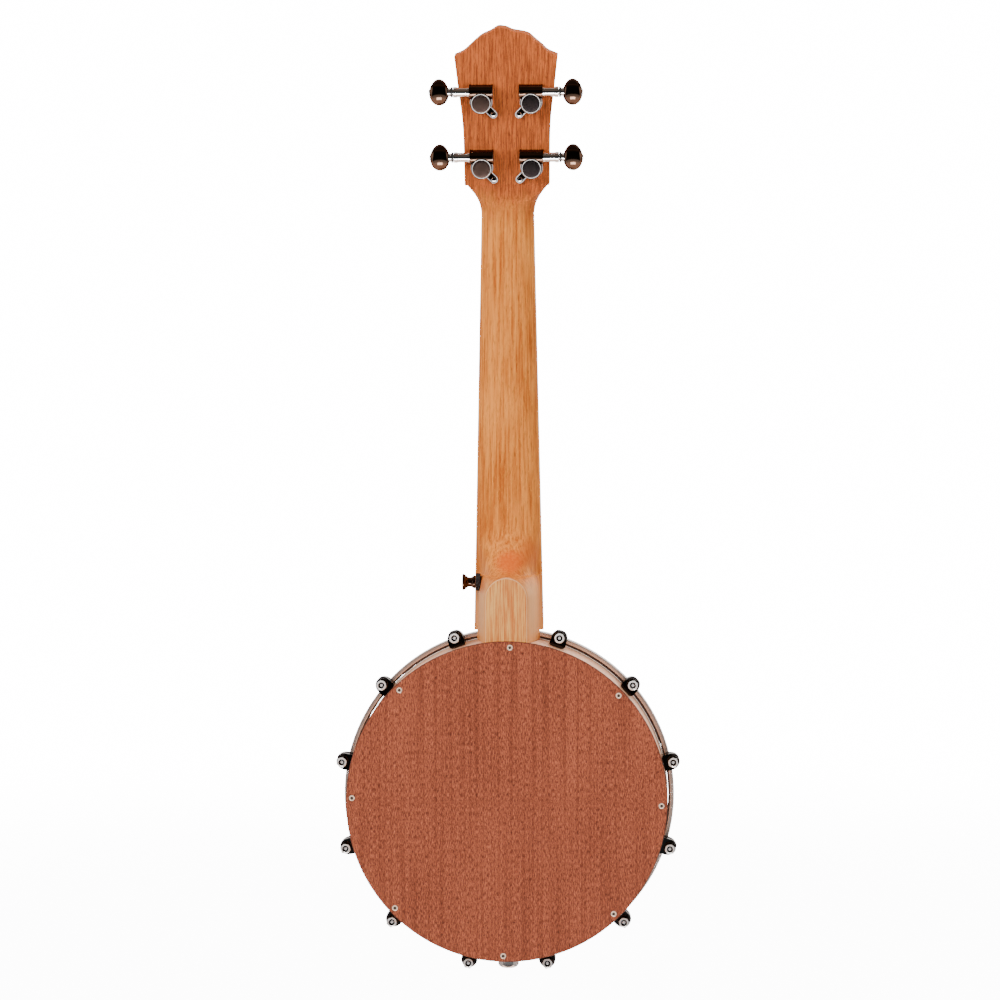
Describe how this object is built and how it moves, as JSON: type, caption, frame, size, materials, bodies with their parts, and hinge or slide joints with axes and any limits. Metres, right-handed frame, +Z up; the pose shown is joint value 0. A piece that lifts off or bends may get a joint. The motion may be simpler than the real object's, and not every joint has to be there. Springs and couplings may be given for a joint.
{
  "type": "banjo ukulele",
  "caption": "Small drum-bodied string instrument with a round closed-back wooden pot, chrome tension hoop and hooks, a fretted neck and geared tuners.",
  "frame": {"origin": "centre of the back plate's outer face, on the axis of the round pot", "axes": "+Z up along the neck, -Y out of the back plate's flat outer face, +X to the right as seen from behind"},
  "size_m": [0.2206, 0.0707, 0.6036],
  "materials": {
    "back_plate_wood": "satin lacquer, fine vertical grain",
    "rim_wood": "satin lacquer",
    "neck_wood": "satin lacquer, fine lengthwise grain",
    "fretboard_wood": "oiled dark wood",
    "chrome": "polished",
    "tone_brass": "plain turned",
    "head_skin": "frosted film",
    "bone": "polished bone",
    "bridge_wood": "bare maple",
    "string_nylon": "clear nylon",
    "black_felt": "pressed felt"
  },
  "bodies": {
    "instrument": {"back_plate": "back_plate_wood", "rim": "rim_wood", "tone_ring": "tone_brass", "drum_head": "head_skin", "flesh_hoop": "tone_brass", "bracket_shoe_01": "chrome", "bracket_shoe_02": "chrome", "bracket_shoe_03": "chrome", "bracket_shoe_04": "chrome", "bracket_shoe_05": "chrome", "bracket_shoe_06": "chrome", "bracket_shoe_07": "chrome", "bracket_shoe_08": "chrome", "bracket_shoe_09": "chrome", "bracket_shoe_10": "chrome", "bracket_shoe_11": "chrome", "bracket_shoe_12": "chrome", "coordinator_rod": "chrome", "rod_nut": "chrome", "tailpiece": "chrome", "neck": "neck_wood", "fretboard": "fretboard_wood", "headstock_veneer": "fretboard_wood", "string_nut": "bone", "bridge": "bridge_wood", "bridge_cap": "fretboard_wood", "string_1": "string_nylon", "string_2": "string_nylon", "string_3": "string_nylon", "string_4": "string_nylon", "tuner_housing_1": "chrome", "tuner_housing_2": "chrome", "tuner_housing_3": "chrome", "tuner_housing_4": "chrome", "strap_button": "chrome", "strap_button_felt": "black_felt"},
    "hoop_and_hooks": {"tension_hoop": "chrome"},
    "nut_01": {"hook_nut_01": "chrome"},
    "nut_02": {"hook_nut_02": "chrome"},
    "nut_03": {"hook_nut_03": "chrome"},
    "nut_04": {"hook_nut_04": "chrome"},
    "nut_05": {"hook_nut_05": "chrome"},
    "nut_06": {"hook_nut_06": "chrome"},
    "nut_07": {"hook_nut_07": "chrome"},
    "nut_08": {"hook_nut_08": "chrome"},
    "nut_09": {"hook_nut_09": "chrome"},
    "nut_10": {"hook_nut_10": "chrome"},
    "nut_11": {"hook_nut_11": "chrome"},
    "nut_12": {"hook_nut_12": "chrome"},
    "knob_1": {"tuner_knob_1": "chrome"},
    "post_1": {"tuner_post_1": "chrome"},
    "knob_2": {"tuner_knob_2": "chrome"},
    "post_2": {"tuner_post_2": "chrome"},
    "knob_3": {"tuner_knob_3": "chrome"},
    "post_3": {"tuner_post_3": "chrome"},
    "knob_4": {"tuner_knob_4": "chrome"},
    "post_4": {"tuner_post_4": "chrome"}
  },
  "joints": [
    {"name": "hoop_slide", "type": "slide", "parent": "instrument", "child": "hoop_and_hooks", "axis": [0, 1, 0], "range_m": [0, 0.0014]},
    {"name": "nut_01_turn", "type": "hinge", "parent": "instrument", "child": "nut_01", "pos_m": [0.0335, 0.017, 0.1031], "axis": [0, -1, 0], "range_deg": [0, 720]},
    {"name": "nut_02_turn", "type": "hinge", "parent": "instrument", "child": "nut_02", "pos_m": [0.08018, 0.017, 0.07296], "axis": [0, -1, 0], "range_deg": [0, 720]},
    {"name": "nut_03_turn", "type": "hinge", "parent": "instrument", "child": "nut_03", "pos_m": [0.10579, 0.017, 0.02365], "axis": [0, -1, 0], "range_deg": [0, 720]},
    {"name": "nut_04_turn", "type": "hinge", "parent": "instrument", "child": "nut_04", "pos_m": [0.10361, 0.017, -0.03187], "axis": [0, -1, 0], "range_deg": [0, 720]},
    {"name": "nut_05_turn", "type": "hinge", "parent": "instrument", "child": "nut_05", "pos_m": [0.0742, 0.017, -0.07902], "axis": [0, -1, 0], "range_deg": [0, 720]},
    {"name": "nut_06_turn", "type": "hinge", "parent": "instrument", "child": "nut_06", "pos_m": [0.02531, 0.017, -0.1054], "axis": [0, -1, 0], "range_deg": [0, 720]},
    {"name": "nut_07_turn", "type": "hinge", "parent": "instrument", "child": "nut_07", "pos_m": [-0.02531, 0.017, -0.1054], "axis": [0, -1, 0], "range_deg": [0, 720]},
    {"name": "nut_08_turn", "type": "hinge", "parent": "instrument", "child": "nut_08", "pos_m": [-0.0742, 0.017, -0.07902], "axis": [0, -1, 0], "range_deg": [0, 720]},
    {"name": "nut_09_turn", "type": "hinge", "parent": "instrument", "child": "nut_09", "pos_m": [-0.10361, 0.017, -0.03187], "axis": [0, -1, 0], "range_deg": [0, 720]},
    {"name": "nut_10_turn", "type": "hinge", "parent": "instrument", "child": "nut_10", "pos_m": [-0.10579, 0.017, 0.02365], "axis": [0, -1, 0], "range_deg": [0, 720]},
    {"name": "nut_11_turn", "type": "hinge", "parent": "instrument", "child": "nut_11", "pos_m": [-0.08018, 0.017, 0.07296], "axis": [0, -1, 0], "range_deg": [0, 720]},
    {"name": "nut_12_turn", "type": "hinge", "parent": "instrument", "child": "nut_12", "pos_m": [-0.0335, 0.017, 0.1031], "axis": [0, -1, 0], "range_deg": [0, 720]},
    {"name": "knob_1_turn", "type": "hinge", "parent": "instrument", "child": "knob_1", "pos_m": [-0.0159, 0.035, 0.40912], "axis": [1, 0, 0], "continuous": true},
    {"name": "post_1_turn", "type": "hinge", "parent": "instrument", "child": "post_1", "pos_m": [-0.0159, 0.05246, 0.40509], "axis": [0, 0.9848, 0.1736], "continuous": true},
    {"name": "knob_2_turn", "type": "hinge", "parent": "instrument", "child": "knob_2", "pos_m": [0.0159, 0.035, 0.40912], "axis": [1, 0, 0], "continuous": true},
    {"name": "post_2_turn", "type": "hinge", "parent": "instrument", "child": "post_2", "pos_m": [0.0159, 0.05246, 0.40509], "axis": [0, 0.9848, 0.1736], "continuous": true},
    {"name": "knob_3_turn", "type": "hinge", "parent": "instrument", "child": "knob_3", "pos_m": [-0.0159, 0.02774, 0.45029], "axis": [1, 0, 0], "continuous": true},
    {"name": "post_3_turn", "type": "hinge", "parent": "instrument", "child": "post_3", "pos_m": [-0.0159, 0.0452, 0.44626], "axis": [0, 0.9848, 0.1736], "continuous": true},
    {"name": "knob_4_turn", "type": "hinge", "parent": "instrument", "child": "knob_4", "pos_m": [0.0159, 0.02774, 0.45029], "axis": [1, 0, 0], "continuous": true},
    {"name": "post_4_turn", "type": "hinge", "parent": "instrument", "child": "post_4", "pos_m": [0.0159, 0.0452, 0.44626], "axis": [0, 0.9848, 0.1736], "continuous": true}
  ],
  "couplings": [
    {"joint": "nut_01_turn", "follows": "hoop_slide", "rad_per_m": 8975.9},
    {"joint": "nut_02_turn", "follows": "hoop_slide", "rad_per_m": 8975.9},
    {"joint": "nut_03_turn", "follows": "hoop_slide", "rad_per_m": 8975.9},
    {"joint": "nut_04_turn", "follows": "hoop_slide", "rad_per_m": 8975.9},
    {"joint": "nut_05_turn", "follows": "hoop_slide", "rad_per_m": 8975.9},
    {"joint": "nut_06_turn", "follows": "hoop_slide", "rad_per_m": 8975.9},
    {"joint": "nut_07_turn", "follows": "hoop_slide", "rad_per_m": 8975.9},
    {"joint": "nut_08_turn", "follows": "hoop_slide", "rad_per_m": 8975.9},
    {"joint": "nut_09_turn", "follows": "hoop_slide", "rad_per_m": 8975.9},
    {"joint": "nut_10_turn", "follows": "hoop_slide", "rad_per_m": 8975.9},
    {"joint": "nut_11_turn", "follows": "hoop_slide", "rad_per_m": 8975.9},
    {"joint": "nut_12_turn", "follows": "hoop_slide", "rad_per_m": 8975.9},
    {"joint": "post_1_turn", "follows": "knob_1_turn", "ratio": -0.071429},
    {"joint": "post_2_turn", "follows": "knob_2_turn", "ratio": 0.071429},
    {"joint": "post_3_turn", "follows": "knob_3_turn", "ratio": -0.071429},
    {"joint": "post_4_turn", "follows": "knob_4_turn", "ratio": 0.071429}
  ]
}
